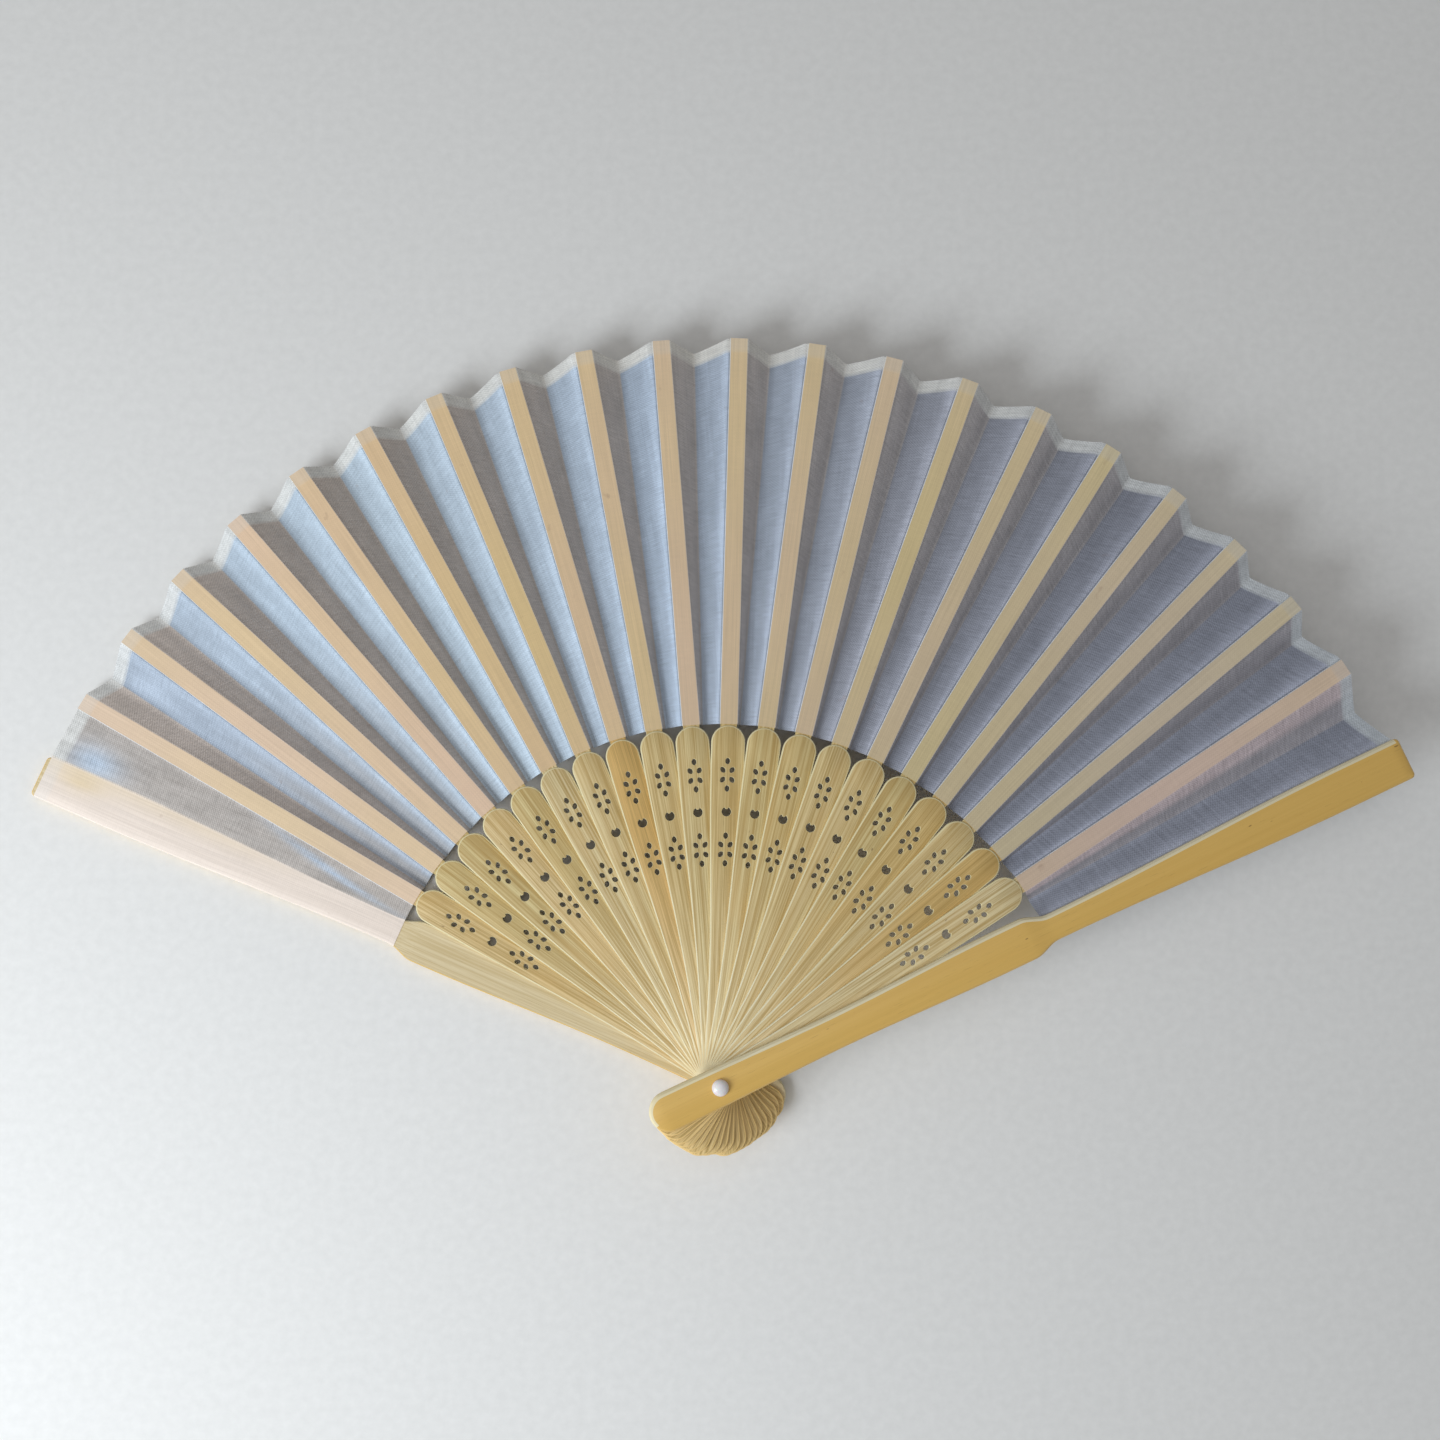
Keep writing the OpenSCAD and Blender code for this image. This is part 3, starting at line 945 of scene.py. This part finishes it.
def dye_of(kind, n, t, r):
    """The cloth's colour, with painted light and shade in it, between stick n and the next at
    distance r, t of the way across a panel of one kind."""
    if kind == "cover":
        share = patch(0.45, r, t, (181, 0.75), (6, 0.25))
        share += 0.4 * hill(t, 0.88, 0.15) * ease((r - 110) / 40)
        return blended(COVER_COLOUR, COVER_BLOTCH, share)
    if kind == "first":
        share = patch(0.9, r, t, (180, 0.25), (7, 0.3))
        share += patch(0.9, r - 45 * t, t, (88, 0.55), (6, 0.35))
        return blended(FIRST_COLOUR, GLEAM_COLOUR, min(share, 1))
    # Painted highlight where the cloth turns up to the ridge
    if kind == "ridge":
        return np.array(RIDGE_HIGHLIGHT_COLOUR)
    # Painted shade in the corner at the foot of the wall
    if kind == "foot":
        return 0.6 * cloth_colour("climbing", n)
    if kind == "wood":
        tone = strip_tones[n] + 0.7 * math.sin(r / 17 + 9 * strip_tones[n])
        # Painted light and shade: the strips are brighter outwards and darker towards the rivet,
        # fully so from the fifth stick on
        outwards = 1 + 0.0012 * (r - 140) * np.clip((n - 2) / 3, 0, 1)
        return cloth_colour("wood", n) * (1, 1 + 0.01 * tone, 1 - 0.07 * tone, 1) * outwards
    if kind == "falling" and n == RIB_COUNT:
        return blended(cloth_colour("falling", n), PINK_COLOUR, ease((0.6 - t) / 0.3))
    if kind == "falling":
        return cloth_colour("falling", n) * panel_light(FALL_LIGHT, t, (n - 9) / 6)
    return climbing_dye(n, t, r)


def hem_share(r):
    """0 on the leaf and 1 on its hem."""
    return ease((r - (LEAF_OUTER - HEM)) / 0.2)


def hemmed_dye(column, n, r):
    plain = dye_of(column.kind, n, column.t, r)
    cover = HEM_OVER_WOOD if column.kind in ("wood", "cover") else HEM_OVER_PANEL
    return plain + (cloth_colour("hem", n) - plain) * cover * hem_share(r)


def sheet_faces(rows, across):
    """Faces of a thin sheet: a front grid of points, a back one, and the rim between them."""

    def at(i, j, back):
        return back * rows * across + i * across + j

    faces = []
    for i in range(rows - 1):
        for j in range(across - 1):
            quad = (at(i, j, 0), at(i + 1, j, 0), at(i + 1, j + 1, 0), at(i, j + 1, 0))
            faces.append(quad[::-1])
            faces.append(tuple(k + rows * across for k in quad))
    for j in range(across - 1):
        for i, turn in ((0, -1), (rows - 1, 1)):
            faces.append((at(i, j, 0), at(i, j + 1, 0), at(i, j + 1, 1), at(i, j, 1))[::turn])
    for i in range(rows - 1):
        for j, turn in ((0, 1), (across - 1, -1)):
            faces.append((at(i, j, 0), at(i + 1, j, 0), at(i + 1, j, 1), at(i, j, 1))[::turn])
    return faces


def both_faces(grid):
    """The points of a sheet's front, and those of its back one cloth thickness behind."""
    normal = np.cross(np.gradient(grid, axis=1), np.gradient(grid, axis=0))
    normal *= np.sign(normal[:, :, 2:3]) / np.linalg.norm(normal, axis=2, keepdims=True)
    return np.concatenate([grid.reshape(-1, 3), (grid - normal * CLOTH_T).reshape(-1, 3)])


def fold_between(made, n, grid, shut):
    """Works out the share of the next stick's swing by which each point turns from its open angle
    to its shut one, and bakes the gore's placing into its mesh.
    """
    reach = np.linalg.norm(grid[:, :, :2], axis=2)
    open_turn = np.degrees(np.arctan2(grid[:, :, 1], grid[:, :, 0]))
    shut_turn = np.degrees(np.arcsin(shut / reach))
    share = (shut_turn - open_turn) / travel_after(n)
    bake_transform(made)
    np.tile(share.ravel(), 2).astype(np.float32)


def make_gore(n):
    """The cloth between stick n and the next, with its glued band on stick n."""
    radii = gore_rows()
    columns = [gore_columns(n, r) for r in radii]
    grid = np.array([[(c.x, c.y, c.z) for c in row] for row in columns])
    shut = np.array([[c.shut for c in row] for row in columns])
    dyes = np.array([[hemmed_dye(c, n, r) for c in row] for r, row in zip(radii, columns)])
    rows, across = shut.shape
    grid[:, :, 2] += HEM_RISE * hem_share(radii)[:, None]

    # The thread-true place in the cloth, for its weave
    steps = np.linalg.norm(np.diff(grid, axis=1), axis=2)
    width = np.concatenate([np.zeros((rows, 1)), np.cumsum(steps, axis=1)], axis=1)
    distance = np.repeat(radii[:, None], across, axis=1)
    weave = np.stack([width, distance, np.full(shut.shape, WEAVE_STEP * n)], axis=2)

    points = both_faces(grid)
    slack = np.empty((2, rows, across))
    slack[:] = [SLACK.get(c.kind, USUAL_SLACK) for c in columns[0]]
    made = make_mesh(
        f"leaf_gore_{n + 1:02d}_cloth",
        np.column_stack([turned(points[:, :2], stick_angle(n)), points[:, 2]]),
        sheet_faces(rows, across),
        [CLOTH],
        smooth=40,
        weave=np.tile(weave.reshape(-1, 3), (2, 1)),
        dye=np.tile(dyes.reshape(-1, 4), (2, 1)),
        slack=slack.ravel(),
    )
    fold_between(made, n, grid, shut)
    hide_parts(f"leaf_gore_{n + 1:02d}")


for number in range(FRONT):
    make_gore(number)

# ---------------------------------------------------------------- rivet


# The rivet's domed head, on a foot of (radius, height) pairs
BEAD_R = 2.1
BEAD_FOOT = ((1.9, 0), (2.08, 0.1))
DOME_FOOT, DOME_RISE = 0.25, 1.33


def lathe(name, profile, z, material, steps=40):
    """A round piece about the rivet's axis from (radius, height) pairs, closed at both ends."""
    a = np.linspace(0, 2 * math.pi, steps, endpoint=False)
    points = [(r * math.cos(t), r * math.sin(t), z + h) for r, h in profile for t in a]
    faces = []
    for level in range(len(profile) - 1):
        for i in range(steps):
            p, q = level * steps + i, level * steps + (i + 1) % steps
            faces.append((p, q, q + steps, p + steps))
    faces.append(tuple(range(steps))[::-1])
    faces.append(tuple(range((len(profile) - 1) * steps, len(profile) * steps)))
    return make_mesh(name, points, faces, [material], smooth=40)


rise = np.radians(np.linspace(0, 88, 14))
dome = [(BEAD_R * math.cos(t), DOME_FOOT + DOME_RISE * math.sin(t)) for t in rise]
bead = lathe("rivet_bead", [*BEAD_FOOT, *dome], STACK_TOP + PLAY, PEARL)
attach(bead, "rear_guard")
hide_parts("rivet_cap")
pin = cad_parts["rivet_pin"]
pin.data.materials.clear()
pin.data.materials.append(PEARL)

# ---------------------------------------------------------------- floor, light and camera


FLOOR_HALF = 3.0
FLOOR_DROP = 0.0003


def make_floor():
    """A pale paper floor, in metres, just below the fan's back."""
    s = Shader("floor_paper", Roughness=0.85)
    place = s.node("TexCoord").outputs["Object"]
    grain = s.noise(s.scaled(place, 400.0, 400.0, 400.0), 3.0)
    shade = s.mix(s.spread(grain, 0.3, 0.7), colour(240, 239, 236), colour(246, 245, 242))
    s.feed("Base Color", shade)
    mesh = bpy.data.meshes.new("floor")
    corners = ((-1, -1), (1, -1), (1, 1), (-1, 1))
    mesh.from_pydata([(FLOOR_HALF * x, FLOOR_HALF * y, 0) for x, y in corners], [], [(0, 1, 2, 3)])
    mesh.materials.append(s.material)
    floor = bpy.data.objects.new("floor", mesh)
    floor.location.z = -FLOOR_DROP
    bpy.context.scene.collection.objects.link(floor)


def area_light(name, place, target, size, power, tint):
    data = bpy.data.lights.new(name, "AREA")
    data.shape = "DISK"
    data.size = size
    data.energy = power
    data.color = tint
    light = bpy.data.objects.new(name, data)
    light.location = place
    light.rotation_euler = (Vector(target) - Vector(place)).to_track_quat("-Z", "Y").to_euler()
    bpy.context.scene.collection.objects.link(light)


make_floor()
area_light("window", (-0.5, -0.26, 0.4), (0, 0.08, 0), 0.4, 3.6, (0.88, 0.94, 1.0))
area_light("ceiling", (-0.3, 0.2, 1.2), (0, 0.08, 0), 1.2, 2.4, (1.0, 0.97, 0.93))
world = bpy.data.worlds.new("room")
world.use_nodes = True
world.node_tree.nodes["Background"].inputs["Color"].default_value = (0.95, 0.97, 1.0, 1)
world.node_tree.nodes["Background"].inputs["Strength"].default_value = 0.24
bpy.context.scene.world = world
bpy.context.scene.view_settings.view_transform = "Standard"

# The camera looks almost straight down. Its turn is a vector: the axis, as long as the angle in
# radians, clockwise
CAMERA_PLACE = (-0.0111, 0.0671, 0.4)
CAMERA_TURN = Vector((-0.0616, 0.0318, 0.0115))
camera_data = bpy.data.cameras.new("camera")
camera_data.sensor_width = 36
camera_data.lens = 37.99
camera = bpy.data.objects.new("camera", camera_data)
turn = Matrix.Rotation(-CAMERA_TURN.length, 4, CAMERA_TURN)
camera.matrix_world = Matrix.Translation(CAMERA_PLACE) @ turn
bpy.context.scene.collection.objects.link(camera)
bpy.context.scene.camera = camera
